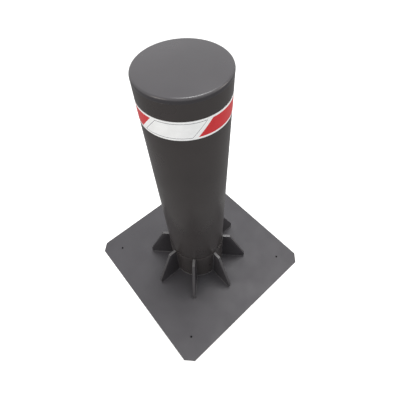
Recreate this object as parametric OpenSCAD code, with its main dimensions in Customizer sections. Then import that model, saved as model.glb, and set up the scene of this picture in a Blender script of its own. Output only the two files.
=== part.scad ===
// Retractable bollard, raised: a round steel post that a screw drive lowers into a pit casing.
// Millimetres, +Z up. The origin is on the post's axis, at the underside of the base plate,
// which is the face that rests on the edge of the pit. The casing hangs below it.

/* [Post] */
// Outer diameter of the post
post_od = 219.1; // [160:0.1:273]
// Wall of the post
post_wall = 6.3; // [4:0.1:12]
// Height of the raised post above the top of the base plate
visible_h = 950; // [600:10:1200]
// Thickness of the cap at its rim
cap_t = 12; // [10:1:25]
// Rounding of the cap's top edge
cap_round = 10; // [3:0.5:11]
// How far the cap's spigot reaches into the post
spigot_h = 14; // [6:1:40]
// Width of the reflective band
band_w = 50; // [30:1:80]
// Distance from the top of the cap to the top of the band
band_drop = 54; // [30:1:120]
// Thickness of the band
band_t = 0.4; // [0.2:0.1:1]

/* [Base plate] */
// Side of the square base plate
plate_w = 670; // [560:5:900]
// Thickness of the base plate
plate_t = 8; // [6:1:20]
// Corner cut, measured along each side
corner_cut = 30; // [5:1:60]
// Distance from each side to the centre of a corner hole
hole_inset = 75; // [50:1:100]
// Diameter of a corner hole
hole_d = 9; // [6:0.5:18]

/* [Collar and gussets] */
// Height of the collar above the base plate
collar_h = 190; // [120:5:260]
// Wall of the collar
collar_wall = 2; // [1.5:0.5:10]
// Thickness left at the collar's mouth, where its outside tapers
mouth_edge = 0.8; // [0.5:0.1:1.5]
// Height of the taper at the collar's mouth
mouth_taper = 12; // [4:1:30]
// Reach of a gusset from the collar
gusset_reach = 103; // [60:1:140]
// Thickness of a gusset
gusset_t = 10; // [6:1:16]
// Height of a gusset's outer end
gusset_tip = 28; // [10:1:60]
// Length of a gusset's flat top
gusset_top = 30; // [15:1:60]

/* [Pit casing] */
// Free width of the ring-shaped space between the post and the casing
well_gap = 22; // [18:0.5:40]
// Wall of the casing
casing_wall = 5; // [3:0.5:10]
// Thickness of the flange under the base plate
head_t = 20; // [15:1:30]
// How far the flange stands out past the casing
head_lip = 14; // [5:1:30]
// Thickness of the casing's floor
floor_t = 10; // [6:1:20]
// How far the floor stands out past the casing
floor_lip = 12; // [0:1:30]
// Space left below the motor
sump_h = 20; // [10:1:80]

/* [Guides and stops] */
// Height of the upper guide bush
guide_h = 60; // [30:1:120]
// Thickness of the ring that holds the upper guide
retainer_t = 14; // [12:1:24]
// Thickness of the rubber ring that the post stops against
stop_pad_t = 12; // [6:1:20]
// Thickness of the post's stop flange
stop_t = 12; // [10:1:20]
// Height of the wear ring at the post's foot
wear_h = 30; // [20:1:60]
// Thickness of the plate that closes the post's foot
foot_t = 12; // [10:1:20]
// Width of the guide key in the casing
key_w = 12; // [8:1:20]
// How far the guide key stands out of the casing's wall
key_depth = 5.3; // [4:0.1:8]
// Width of the wiper seal
seal_w = 10; // [6:0.5:12]
// Height of the wiper seal
seal_h = 8; // [5:0.5:12]
// Number of buffers under the lowered post
buffer_n = 4; // [3:1:4]
// Radius of a buffer
buffer_r = 14; // [8:1:18]

/* [Drive] */
// Diameter of the lifting screw
screw_d = 30; // [24:1:36]
// Diameter of the screw's lower journal
journal_d = 20; // [16:1:22]
// Wall of the nut around the screw
nut_wall = 9; // [6:0.5:12]
// Thickness of the nut's flange
nut_flange_t = 12; // [8:1:16]
// Height of the nut above the post's foot plate
nut_h = 62; // [40:1:90]
// How far the screw stands out above the raised nut
screw_spare = 18; // [10:1:40]
// Height of the bearing housing
bearing_h = 25; // [20:1:40]
// Thickness of the deck that carries the drive
deck_t = 12; // [10:1:20]
// Height of the bell housing between deck and gearbox
bell_h = 36; // [34:1:60]
// Height of the gearbox
gearbox_h = 60; // [40:1:100]
// Length of the motor
motor_h = 100; // [80:1:160]
// Height of the holding brake under the motor
brake_h = 24; // [15:1:40]
// Radius of the motor
motor_r = 40; // [34:1:46]

/* [Outlets] */
// Outer diameter of the drain spigot
drain_d = 50; // [40:1:75]
// Outer diameter of the conduit stub
conduit_d = 40; // [25:1:50]
// Wall of the drain spigot and of the conduit stub
outlet_wall = 3; // [2:0.5:5]
// How far the outlets stand out of the casing
outlet_len = 60; // [40:5:120]

/* [Clearances] */
// Radial gap between the post and the collar
collar_gap = 0.8; // [0.8:0.1:3]
// Radial gap between a guide and what slides in it
slide_gap = 0.4; // [0.3:0.05:0.8]
// Gap between a rubber piece and a moving piece at rest
soft_gap = 0.3; // [0.2:0.05:0.5]
// Radial gap around a pressed or welded-in piece
seat_gap = 0.1; // [0.05:0.01:0.2]
// Radial gap in a running bearing or nut
run_gap = 0.08; // [0.05:0.01:0.1]
// Radial gap between the stop flange and the guide key
stop_gap = 1.5; // [1:0.1:3]
// Radial gap between the lower bearing housing and the screw's races
shaft_gap = 1; // [0.6:0.1:2]
// Height left between the lowered nut and the bearing housing
nut_clear = 8; // [5:1:20]
// Height left between the lowered foot plate and the limit sensor
sensor_clear = 3; // [1:0.5:6]

/* [Hidden] */
$fn = 96;

// Radii from the axis outwards
post_r = post_od / 2;
post_ir = post_r - post_wall;
collar_ir = post_r + collar_gap;
collar_or = collar_ir + collar_wall;
casing_ir = post_r + well_gap;
casing_or = casing_ir + casing_wall;
head_r = casing_or + head_lip;
floor_r = casing_or + floor_lip;
key_ir = casing_ir - key_depth;
stop_r = key_ir - stop_gap;
seal_r = post_r + seal_w;

// The cap's rounding, which leaves a straight rim below it
cap_rim = 1;
cap_edge_r = min(cap_round, cap_t - cap_rim);

// Screws, as metric sizes: shank radius, head radius and head height
m8_r = 4;
m8_head_r = 6.5;
m8_head_h = 8;
m6_r = 3;
m6_head_r = 5;
m6_head_h = 6;
hex_key_af = 6;
guide_screw_n = 6;
guide_screw_r = post_r + well_gap / 2;
foot_screw_n = 6;
foot_screw_r = (post_r + stop_r) / 2;
drive_screw_n = 4;
screw_bite = 14;
tip_gap = 1;

// Levels from the top down
plate_top = plate_t;
mouth_z = plate_top + collar_h;
cap_top = plate_top + visible_h;
stroke = visible_h - collar_h;
band_top = cap_top - band_drop;
guide_top = -head_t;
retainer_top = guide_top - guide_h;
pad_top = retainer_top - retainer_t;
stop_top = pad_top - stop_pad_t - soft_gap;
wear_top = stop_top - stop_t;
foot_top = wear_top - wear_h;
foot_bottom = foot_top - foot_t;
nut_bottom = foot_bottom - nut_flange_t;
lowest_nut = nut_bottom - m6_head_h - stroke;
bearing_top = lowest_nut - nut_clear;
deck_top = bearing_top - bearing_h;
deck_bottom = deck_top - deck_t;
bell_bottom = deck_bottom - bell_h;
gearbox_bottom = bell_bottom - gearbox_h;
motor_bottom = gearbox_bottom - motor_h;
brake_bottom = motor_bottom - brake_h;
floor_top = brake_bottom - sump_h;
floor_bottom = floor_top - floor_t;

// Screw and its nut
screw_r = screw_d / 2;
journal_r = journal_d / 2;
screw_top = foot_top + nut_h + screw_spare;
nut_body_r = screw_r + nut_wall;
nut_screw_r = nut_body_r + m6_head_r + 3;
nut_flange_r = nut_screw_r + m6_head_r + 3;
end_washer_r = screw_r + 5;
end_washer_t = 6;
shoulder_h = 2;

// Bearing
race_wall = 5;
race_h = 14;
race_cover = 4;
ball_r = 3.2;
ball_play = 0.1;
ball_n = 12;
inner_race_r = journal_r + race_wall;
outer_race_ir = inner_race_r + 2 * (ball_r + ball_play);
outer_race_r = outer_race_ir + race_wall;
race_top = bearing_top - race_cover;
housing_screw_r = outer_race_r + m6_head_r + 2;
housing_r = housing_screw_r + m6_head_r + 2;

// Drive unit
bell_gap = 4;
coupling_wall = 9;
coupling_r = journal_r + coupling_wall;
coupling_h = bell_h - 2 * bell_gap;
coupling_top = deck_bottom - bell_gap;
coupling_middle = coupling_top - coupling_h / 2;
bell_ir = coupling_r + bell_gap;
bell_or = motor_r + 6;
window_half_w = bell_ir * 0.6;
window_rim = 8;
shaft_r = 8;
shaft_bore_h = 12;
gearbox_r = motor_r + 4;
gearbox_flange_t = 8;
gearbox_screw_r = gearbox_r - m6_head_r;
motor_rib_n = 24;
motor_groove_r = 1.5;
motor_land = 10;
brake_r = motor_r - 3;
gland_rise = 26;
gland_hex_r = 9;
gland_r = 6.5;
gland_bore_r = 3.5;
deck_r = casing_ir - seat_gap;
deck_hole_r = 9;
deck_hole_n = 6;
deck_hole_pcd_r = (bell_or + deck_r) / 2 + 6;
lug_n = 3;
lug_h = 30;
lug_depth = 14;
lug_w = 30;
buffer_pcd_r = post_r - 24;
sensor_r = 6;
sensor_nut_r = 9;
sensor_nut_h = 6;
sensor_pcd_r = buffer_pcd_r - 10;
spigot_wall = 8;
seal_cord_r = 1.8;

// Outlets
drain_r = drain_d / 2;
conduit_r = conduit_d / 2;
outlet_tail = 4;
drain_z = floor_top + drain_r + outlet_tail;
conduit_z = deck_bottom - lug_h - conduit_r;
drain_angle = 90;
conduit_angle = 180;
key_angle = 45;
seat_angle = 45;
guide_screw_angle = 30;

gusset_n = 8;

// ---- Shared shapes ----

// A ring from z0 up to z1
module ring(outer, inner, z0, z1) {
    rotate_extrude() translate([inner, z0]) square([outer - inner, z1 - z0]);
}

// A solid disc or shaft from z0 up to z1
module disc(r, z0, z1) {
    translate([0, 0, z0]) cylinder(r = r, h = z1 - z0);
}

// Puts its children at n places on a circle, starting at an angle
module around(n, r, start) {
    for (i = [0:n - 1]) rotate([0, 0, start + i * 360 / n]) translate([r, 0, 0]) children();
}

// A socket screw that points up, with its head's top face at z = 0
module socket_screw(shank_r, head_r, head_h, length) {
    difference() {
        union() {
            translate([0, 0, -head_h]) cylinder(r = head_r, h = head_h);
            cylinder(r = shank_r, h = length);
        }
        translate([0, 0, -head_h - 1]) cylinder(d = hex_key_af / cos(30), h = head_h / 2 + 1, $fn = 6);
    }
}

// ---- The moving post ----

module post_tube() {
    color("dimgray") ring(post_r, post_ir, foot_top, cap_top - cap_t);
}

cap_seal_z = cap_top - cap_t - spigot_h / 2;

module cap_profile() {
    bottom = cap_top - cap_t;
    translate([0, bottom]) square([post_r, cap_t - cap_edge_r]);
    translate([0, bottom]) square([post_r - cap_edge_r, cap_t]);
    translate([post_r - cap_edge_r, cap_top - cap_edge_r]) intersection() {
        circle(r = cap_edge_r);
        square(cap_edge_r);
    }
    difference() {
        translate([0, bottom - spigot_h]) square([post_ir - slide_gap, spigot_h]);
        translate([post_ir - 2 * seal_cord_r, cap_seal_z - seal_cord_r]) square(2 * seal_cord_r);
    }
}

module post_cap() {
    color("gray") difference() {
        rotate_extrude() cap_profile();
        disc(post_ir - slide_gap - spigot_wall, cap_top - cap_t - spigot_h - 1, cap_top - cap_t);
    }
}

module cap_seal() {
    color("black") rotate_extrude() translate([post_ir - seal_cord_r - seat_gap / 2, cap_seal_z])
        circle(r = seal_cord_r - seat_gap / 2);
}

module reflective_band() {
    color("white") ring(post_r + band_t, post_r, band_top - band_w, band_top);
}

module foot_screw_holes(z0, z1, gap) {
    around(foot_screw_n, foot_screw_r, 0) disc(m8_r + gap, z0, z1);
}

module stop_flange() {
    color("silver") difference() {
        ring(stop_r, post_r + seat_gap, wear_top, stop_top);
        foot_screw_holes(wear_top - 1, stop_top + 1, seat_gap);
    }
}

module wear_ring() {
    color("ivory") difference() {
        ring(casing_ir - slide_gap, post_r + seat_gap, foot_top, wear_top);
        foot_screw_holes(foot_top - 1, wear_top + 1, soft_gap);
        rotate([0, 0, key_angle]) translate([key_ir - slide_gap, -key_w / 2 - slide_gap, foot_top - 1])
            cube([2 * key_depth, key_w + 2 * slide_gap, wear_h + 2]);
    }
}

module post_foot() {
    color("silver") difference() {
        disc(stop_r, foot_bottom, foot_top);
        disc(nut_body_r + seat_gap, foot_bottom - 1, foot_top + 1);
        foot_screw_holes(foot_bottom - 1, foot_top + 1, soft_gap);
        around(drive_screw_n, nut_screw_r, seat_angle) disc(m6_r + seat_gap, foot_bottom - 1, foot_top + 1);
    }
}

module foot_screws() {
    color("darkgray") translate([0, 0, foot_bottom]) around(foot_screw_n, foot_screw_r, 0)
        socket_screw(m8_r, m8_head_r, m8_head_h, foot_t + wear_h + stop_t - tip_gap);
}

module lift_nut() {
    color("goldenrod") difference() {
        union() {
            disc(nut_flange_r, nut_bottom, foot_bottom);
            disc(nut_body_r, nut_bottom, foot_top + nut_h);
        }
        disc(screw_r + run_gap, nut_bottom - 1, foot_top + nut_h + 1);
        around(drive_screw_n, nut_screw_r, seat_angle) disc(m6_r + soft_gap, nut_bottom - 1, foot_bottom + 1);
    }
}

module nut_screws() {
    color("darkgray") translate([0, 0, nut_bottom]) around(drive_screw_n, nut_screw_r, seat_angle)
        socket_screw(m6_r, m6_head_r, m6_head_h, nut_flange_t + foot_t - tip_gap);
}

// ---- The plate, collar and gussets ----

module plate_outline() {
    h = plate_w / 2;
    c = corner_cut;
    polygon([
        [h - c, -h], [h, -h + c], [h, h - c], [h - c, h],
        [-h + c, h], [-h, h - c], [-h, -h + c], [-h + c, -h]
    ]);
}

module base_plate() {
    at = plate_w / 2 - hole_inset;
    color("slategray") difference() {
        linear_extrude(plate_t) plate_outline();
        disc(collar_ir, -1, plate_t + 1);
        for (x = [-at, at], y = [-at, at]) translate([x, y, 0]) disc(hole_d / 2, -1, plate_t + 1);
    }
}

module collar() {
    color("slategray") rotate_extrude() polygon([
        [collar_ir, plate_top], [collar_or, plate_top], [collar_or, mouth_z - mouth_taper],
        [collar_ir + mouth_edge, mouth_z], [collar_ir, mouth_z]
    ]);
}

module gusset(i) {
    inner = collar_or + seat_gap;
    outer = collar_or + gusset_reach;
    color("slategray") rotate([0, 0, (i - 1) * 360 / gusset_n]) rotate([90, 0, 0])
        linear_extrude(gusset_t, center = true) polygon([
            [inner, plate_top], [outer, plate_top], [outer, plate_top + gusset_tip],
            [inner + gusset_top, mouth_z], [inner, mouth_z]
        ]);
}

// ---- The casing's head ----

module guide_screw_holes(r, z0, z1) {
    around(guide_screw_n, guide_screw_r, guide_screw_angle) disc(r, z0, z1);
}

module head_flange() {
    color("lightgray") difference() {
        ring(head_r, collar_ir, -head_t, 0);
        disc(seal_r + seat_gap, -head_t - 1, -head_t + seal_h);
        guide_screw_holes(m8_r + seat_gap, -head_t - 1, -head_t + screw_bite + tip_gap);
    }
}

module wiper_seal() {
    color("black") difference() {
        ring(seal_r, post_r + soft_gap, -head_t, -head_t + seal_h);
        guide_screw_holes(m8_r + soft_gap, -head_t - 1, -head_t + seal_h + 1);
    }
}

module upper_guide() {
    color("ivory") difference() {
        ring(casing_ir - seat_gap, post_r + slide_gap, retainer_top, guide_top);
        guide_screw_holes(m8_r + soft_gap, retainer_top - 1, guide_top + 1);
    }
}

module guide_retainer() {
    color("silver") difference() {
        ring(casing_ir - seat_gap, collar_ir, pad_top, retainer_top);
        guide_screw_holes(m8_r + soft_gap, pad_top - 1, retainer_top + 1);
        guide_screw_holes(m8_head_r + soft_gap, pad_top - 1, pad_top + m8_head_h);
    }
}

module guide_screws() {
    length = retainer_t - m8_head_h + guide_h + screw_bite;
    color("darkgray") translate([0, 0, pad_top + m8_head_h])
        around(guide_screw_n, guide_screw_r, guide_screw_angle)
        socket_screw(m8_r, m8_head_r, m8_head_h, length);
}

module stop_pad() {
    color("black") ring(stop_r, collar_ir, pad_top - stop_pad_t, pad_top);
}

// ---- The casing ----

module outlet_hole(r, z, angle) {
    rotate([0, 0, angle]) translate([0, 0, z]) rotate([0, 90, 0]) cylinder(r = r, h = casing_or + 10);
}

module outlet_pipe(r, z, angle) {
    rotate([0, 0, angle]) difference() {
        translate([casing_ir - outlet_tail, 0, z]) rotate([0, 90, 0])
            cylinder(r = r, h = casing_wall + outlet_tail + outlet_len);
        translate([0, 0, z]) rotate([0, 90, 0])
            cylinder(r = r - outlet_wall, h = casing_or + outlet_len + 1);
    }
}

module pit_casing() {
    color("lightgray") difference() {
        ring(casing_or, casing_ir, floor_top, -head_t);
        outlet_hole(drain_r + seat_gap, drain_z, drain_angle);
        outlet_hole(conduit_r + seat_gap, conduit_z, conduit_angle);
    }
}

module guide_key() {
    height = stop_top - stop_t / 2 - deck_top;
    color("silver") rotate([0, 0, key_angle]) translate([key_ir, -key_w / 2, deck_top])
        cube([key_depth - 2 * seat_gap, key_w, height]);
}

module casing_floor() {
    color("lightgray") disc(floor_r, floor_bottom, floor_top);
}

module drain_spigot() {
    color("lightgray") outlet_pipe(drain_r, drain_z, drain_angle);
}

module conduit_stub() {
    color("lightgray") outlet_pipe(conduit_r, conduit_z, conduit_angle);
}

// ---- The drive ----

module drive_deck() {
    color("silver") difference() {
        disc(deck_r, deck_bottom, deck_top);
        disc(inner_race_r + shaft_gap, deck_bottom - 1, deck_top + 1);
        around(deck_hole_n, deck_hole_pcd_r, 0) disc(deck_hole_r, deck_bottom - 1, deck_top + 1);
        around(drive_screw_n, housing_screw_r, 0) disc(m6_r + seat_gap, deck_bottom - 1, deck_top + 1);
        around(drive_screw_n, gearbox_screw_r, seat_angle)
            disc(m6_r + seat_gap, deck_bottom - 1, deck_top - tip_gap);
    }
}

module deck_lugs() {
    color("lightgray") for (i = [0:lug_n - 1]) rotate([0, 0, guide_screw_angle + i * 360 / lug_n])
        intersection() {
            translate([casing_ir - lug_depth, -lug_w / 2, deck_bottom - lug_h])
                cube([lug_depth, lug_w, lug_h]);
            disc(casing_ir - seat_gap, deck_bottom - lug_h - 1, deck_bottom);
        }
}

module buffers() {
    height = foot_bottom - stroke - soft_gap - deck_top;
    color("black") around(buffer_n, buffer_pcd_r, seat_angle) disc(buffer_r, deck_top, deck_top + height);
}

module bearing_housing() {
    color("gray") difference() {
        disc(housing_r, deck_top, bearing_top);
        disc(outer_race_r + seat_gap, race_top - race_h, race_top);
        disc(inner_race_r + shaft_gap, deck_top - 1, bearing_top + 1);
        around(drive_screw_n, housing_screw_r, 0) disc(m6_r + soft_gap, deck_top - 1, bearing_top + 1);
        around(drive_screw_n, housing_screw_r, 0)
            disc(m6_head_r + soft_gap, bearing_top - m6_head_h, bearing_top + 1);
    }
}

module housing_screws() {
    length = bearing_h - m6_head_h + deck_t - tip_gap;
    color("darkgray") translate([0, 0, bearing_top - m6_head_h]) mirror([0, 0, 1])
        around(drive_screw_n, housing_screw_r, 0) socket_screw(m6_r, m6_head_r, m6_head_h, length);
}

module bearing_outer_race() {
    color("silver") ring(outer_race_r, outer_race_ir, race_top - race_h, race_top);
}

module bearing_balls() {
    color("silver") translate([0, 0, race_top - race_h / 2])
        around(ball_n, (inner_race_r + outer_race_ir) / 2, 0) sphere(r = ball_r);
}

module bell_housing() {
    window_h = bell_h - 2 * window_rim;
    color("gray") difference() {
        ring(bell_or, bell_ir, bell_bottom, deck_bottom);
        for (angle = [0, 180]) rotate([0, 0, angle]) translate([0, -window_half_w, bell_bottom + window_rim])
            cube([bell_or + 1, 2 * window_half_w, window_h]);
        around(drive_screw_n, gearbox_screw_r, seat_angle)
            disc(m6_r + soft_gap, bell_bottom - 1, deck_bottom + 1);
    }
}

module drive_screws() {
    length = gearbox_flange_t + bell_h + deck_t - 2 * tip_gap;
    color("darkgray") translate([0, 0, bell_bottom - gearbox_flange_t])
        around(drive_screw_n, gearbox_screw_r, seat_angle) socket_screw(m6_r, m6_head_r, m6_head_h, length);
}

module gearbox() {
    color("gray") difference() {
        disc(gearbox_r, gearbox_bottom, bell_bottom);
        disc(shaft_r + shaft_gap, bell_bottom - shaft_bore_h, bell_bottom + 1);
        around(drive_screw_n, gearbox_screw_r, seat_angle)
            disc(m6_r + soft_gap, gearbox_bottom - 1, bell_bottom + 1);
        around(drive_screw_n, gearbox_screw_r, seat_angle)
            disc(m6_head_r + shaft_gap, gearbox_bottom - 1, bell_bottom - gearbox_flange_t);
    }
}

module motor() {
    color("dimgray") difference() {
        disc(motor_r, motor_bottom, gearbox_bottom);
        around(motor_rib_n, motor_r, 0)
            disc(motor_groove_r, motor_bottom + motor_land, gearbox_bottom - motor_land);
    }
}

module motor_brake() {
    color("gray") disc(brake_r, brake_bottom, motor_bottom);
}

module motor_gland() {
    z = motor_bottom + gland_rise;
    color("black") rotate([0, 0, conduit_angle]) translate([motor_r + seat_gap, 0, z]) rotate([0, 90, 0])
        difference() {
            union() {
                cylinder(r = gland_hex_r, h = gland_hex_r, $fn = 6);
                cylinder(r = gland_r, h = 3 * gland_r);
            }
            translate([0, 0, -1]) cylinder(r = gland_bore_r, h = 3 * gland_r + 2);
        }
}

module limit_sensor() {
    height = foot_bottom - stroke - sensor_clear - deck_top;
    color("gold") translate([0, sensor_pcd_r, deck_top]) union() {
        cylinder(r = sensor_r, h = height);
        cylinder(r = sensor_nut_r, h = sensor_nut_h, $fn = 6);
    }
}

module lift_screw() {
    color("silver") union() {
        disc(screw_r, bearing_top + shoulder_h, screw_top);
        disc(journal_r, coupling_middle, bearing_top + shoulder_h);
    }
}

module screw_end_washer() {
    color("silver") disc(end_washer_r, screw_top, screw_top + end_washer_t);
}

module bearing_inner_race() {
    color("silver") ring(inner_race_r, journal_r + run_gap, race_top - race_h, bearing_top + shoulder_h);
}

module shaft_coupling() {
    color("silver") difference() {
        disc(coupling_r, coupling_top - coupling_h, coupling_top);
        disc(journal_r + run_gap, coupling_middle, coupling_top + 1);
        disc(shaft_r + run_gap, coupling_top - coupling_h - 1, coupling_middle + 1);
    }
}

module output_shaft() {
    color("silver") disc(shaft_r, bell_bottom - shaft_bore_h + shaft_gap, coupling_middle);
}

post_tube();
post_cap();
cap_seal();
reflective_band();
stop_flange();
wear_ring();
post_foot();
foot_screws();
lift_nut();
nut_screws();
base_plate();
collar();
for (i = [1:gusset_n]) gusset(i);
head_flange();
wiper_seal();
upper_guide();
guide_retainer();
guide_screws();
stop_pad();
pit_casing();
guide_key();
casing_floor();
drain_spigot();
conduit_stub();
drive_deck();
deck_lugs();
buffers();
bearing_housing();
housing_screws();
bearing_outer_race();
bearing_balls();
bell_housing();
drive_screws();
gearbox();
motor();
motor_brake();
motor_gland();
limit_sensor();
lift_screw();
screw_end_washer();
bearing_inner_race();
shaft_coupling();
output_shaft();
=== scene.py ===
# %% [markdown]
# # A retractable bollard
# A round steel post slides down through a gusseted collar into a casing that is buried in the ground. The
# design model already holds every part at its true size, in metres, with the post's axis on the Z axis and
# the base plate's underside at zero. Here each part gets the shape details and the finish that the real one
# has: rounded edges, weld beads, threads, powder coat, zinc and tape.
#
# The frame is loaded first. Everything below takes its place from it, so nothing has to be fitted by eye.

# %% Load the frame
import math
import bpy
import bmesh
from mathutils import Matrix, Vector


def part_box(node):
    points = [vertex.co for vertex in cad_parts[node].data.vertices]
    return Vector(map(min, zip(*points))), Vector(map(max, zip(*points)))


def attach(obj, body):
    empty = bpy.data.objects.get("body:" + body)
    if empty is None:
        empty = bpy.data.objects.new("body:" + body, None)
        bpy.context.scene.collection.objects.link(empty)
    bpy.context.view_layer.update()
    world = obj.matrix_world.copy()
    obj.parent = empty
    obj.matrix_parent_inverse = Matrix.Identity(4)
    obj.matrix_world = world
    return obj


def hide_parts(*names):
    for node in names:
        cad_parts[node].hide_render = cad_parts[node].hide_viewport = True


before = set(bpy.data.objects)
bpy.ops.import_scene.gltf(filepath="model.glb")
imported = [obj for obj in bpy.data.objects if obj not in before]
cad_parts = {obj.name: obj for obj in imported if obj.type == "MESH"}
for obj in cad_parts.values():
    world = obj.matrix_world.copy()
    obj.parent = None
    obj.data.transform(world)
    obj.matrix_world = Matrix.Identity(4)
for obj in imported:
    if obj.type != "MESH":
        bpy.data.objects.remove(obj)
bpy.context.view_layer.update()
MM = 0.001

# %% [markdown]
# Almost every part of a bollard is turned, so four numbers say where it is: inner radius, outer radius,
# lowest level and highest level. They are read from the part's own vertices.

# %% Read where a turned part is
def ring_of(node):
    """Inner radius, outer radius, lowest z and highest z of a part that is turned about the Z axis."""
    points = [v.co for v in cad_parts[node].data.vertices]
    radii = [math.hypot(p.x, p.y) for p in points]
    levels = [p.z for p in points]
    return min(radii), max(radii), min(levels), max(levels)


def put(name, data):
    """A new object in the scene."""
    item = bpy.data.objects.new(name, data)
    bpy.context.scene.collection.objects.link(item)
    return item


def polar(radius, angle, z):
    return (radius * math.cos(angle), radius * math.sin(angle), z)


POST_IN, POST_OUT, POST_LOW, POST_HIGH = ring_of("post_tube")
COLLAR_IN, COLLAR_OUT, PLATE_TOP, MOUTH = ring_of("collar")
PLATE_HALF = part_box("base_plate")[1].x
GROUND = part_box("casing_floor")[0].z
print(f"post {POST_OUT / MM * 2:.1f} mm across, plate {PLATE_HALF / MM * 2:.0f} mm, ground at {GROUND:.3f} m")

# %% [markdown]
# ## Camera
# The viewer stands close and looks steeply down on the raised post, with a wide lens, so the cap looks
# large and the base plate small. The lens axis passes a little left of and above the middle of the view,
# which is what the shift is for, and the camera leans a few degrees to one side.

# %% Place the camera
AIM = Vector((0, 0, PLATE_TOP + 0.4677))
CAM_AZIMUTH = math.radians(-36.308)
CAM_ELEVATION = math.radians(55.968)
CAM_ROLL = math.radians(-4.931)
CAM_DISTANCE = 0.9820
LENS_MM = 25.825

away = Vector((math.sin(CAM_AZIMUTH) * math.cos(CAM_ELEVATION),
               -math.cos(CAM_AZIMUTH) * math.cos(CAM_ELEVATION),
               math.sin(CAM_ELEVATION)))
flat_right = (-away).cross(Vector((0, 0, 1))).normalized()
flat_up = flat_right.cross(-away)
right = flat_right * math.cos(CAM_ROLL) + flat_up * math.sin(CAM_ROLL)
up = flat_up * math.cos(CAM_ROLL) - flat_right * math.sin(CAM_ROLL)

camera_data = bpy.data.cameras.new("camera")
camera_data.lens = LENS_MM
camera_data.sensor_width = 36
camera_data.shift_x = 0.0175
camera_data.shift_y = -0.0063
camera = put("camera", camera_data)
camera.matrix_world = Matrix((right, up, away)).transposed().to_4x4()
camera.location = AIM + away * CAM_DISTANCE
bpy.context.scene.camera = camera
print("camera at", tuple(round(c, 3) for c in camera.location))

# %% [markdown]
# ## Mesh helpers
# A turned part is a profile spun about the axis. Real edges are never knife sharp, so every corner of a
# profile can carry a radius, and a true arc replaces it.

# %% Round the corners of an outline
def rounded(corners, closed=True, steps=4):
    """Points of an outline whose corners are (x, y, radius)."""
    points = []
    count = len(corners)
    for i, (x, y, radius) in enumerate(corners):
        here = Vector((x, y))
        if radius <= 0 or (not closed and i in (0, count - 1)):
            points.append(here)
            continue
        to_last = Vector(corners[i - 1][:2]) - here
        to_next = Vector(corners[(i + 1) % count][:2]) - here
        half = to_last.angle(to_next) / 2
        reach = min(radius / math.tan(half), 0.49 * to_last.length, 0.49 * to_next.length)
        radius = reach * math.tan(half)
        centre = here + (to_last.normalized() + to_next.normalized()).normalized() * radius / math.sin(half)
        start = here + to_last.normalized() * reach - centre
        sweep = math.pi - 2 * half
        if start.x * to_next.y - start.y * to_next.x < 0:
            sweep = -sweep
        for k in range(steps + 1):
            turn = Matrix.Rotation(sweep * k / steps, 2)
            points.append(centre + turn @ start)
    return points


# %% Spin a profile, and finish a mesh
def finish_mesh(name, mesh, material, sharp=35):
    """An object of the mesh, shaded smooth except over edges sharper than that many degrees."""
    mesh.materials.clear()
    mesh.materials.append(material)
    for polygon in mesh.polygons:
        polygon.use_smooth = True
    mesh.set_sharp_from_angle(angle=math.radians(sharp))
    return put(name, mesh)


def as_mesh(name, bm):
    mesh = bpy.data.meshes.new(name)
    bm.to_mesh(mesh)
    bm.free()
    return mesh


def from_bmesh(name, bm, material, sharp=35):
    """An object of a bmesh, with doubles merged and its faces turned outwards."""
    bmesh.ops.remove_doubles(bm, verts=bm.verts, dist=1e-6)
    bmesh.ops.recalc_face_normals(bm, faces=bm.faces)
    return finish_mesh(name, as_mesh(name, bm), material, sharp)


def spin(bm, profile, closed=True, steps=128):
    """Adds a profile of (radius, z) points, spun about the Z axis, to a bmesh."""
    rings = []
    for radius, z in profile:
        if radius < 1e-7:
            rings.append([bm.verts.new((0, 0, z))] * steps)
            continue
        rings.append([bm.verts.new(polar(radius, math.tau * k / steps, z)) for k in range(steps)])
    last = len(rings) if closed else len(rings) - 1
    for i in range(last):
        here, after = rings[i], rings[(i + 1) % len(rings)]
        for k in range(steps):
            j = (k + 1) % steps
            corners = list(dict.fromkeys([here[k], here[j], after[j], after[k]]))
            if len(corners) > 2:
                bm.faces.new(corners)


def stack(bm, rings):
    """Adds faces between rings of (radius, z) points, one point for each step round the Z axis."""
    last = None
    for ring in rings:
        steps = len(ring)
        if ring[0][0] > 0:
            loop = [bm.verts.new(polar(r, math.tau * k / steps, z)) for k, (r, z) in enumerate(ring)]
        else:
            loop = [bm.verts.new((0, 0, ring[0][1]))] * steps
        if last:
            for k in range(steps):
                j = (k + 1) % steps
                bm.faces.new(list(dict.fromkeys([last[k], last[j], loop[j], loop[k]])))
        last = loop


def turned(name, corners, material, closed=True, steps=128, arc=4, sharp=35):
    """A turned piece from a profile whose corners are (radius, z, rounding)."""
    bm = bmesh.new()
    spin(bm, rounded(corners, closed, arc), closed, steps)
    return from_bmesh(name, bm, material, sharp)


def ring_corners(inner, outer, low, high, edge):
    """The profile of a plain ring with every edge rounded alike."""
    return [(inner, low, edge), (outer, low, edge), (outer, high, edge), (inner, high, edge)]


# %% [markdown]
# ## Finishes
# Each finish is a node tree on a Principled shader. Patterns are laid out in Object coordinates, which are
# the design's own metres, so a scale of 400 means features of about 2.5 mm whatever the part's size.

# %% Node helpers
def new_finish(name, **settings):
    """A material with a Principled shader whose named inputs are set, and its node tree's parts."""
    material = bpy.data.materials.new(name)
    material.use_nodes = True
    tree = material.node_tree
    shader = tree.nodes["Principled BSDF"]
    for socket, value in settings.items():
        shader.inputs[socket.replace("_", " ")].default_value = value
    return material, tree, shader


def add(tree, kind, links=(), **values):
    """A node with its properties and input values set, and its inputs linked from other sockets."""
    node = tree.nodes.new(kind)
    for key, value in values.items():
        if hasattr(node, key):
            setattr(node, key, value)
        else:
            node.inputs[key.replace("_", " ")].default_value = value
    for key, socket in dict(links).items():
        tree.links.new(socket, node.inputs[key])
    return node


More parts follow.
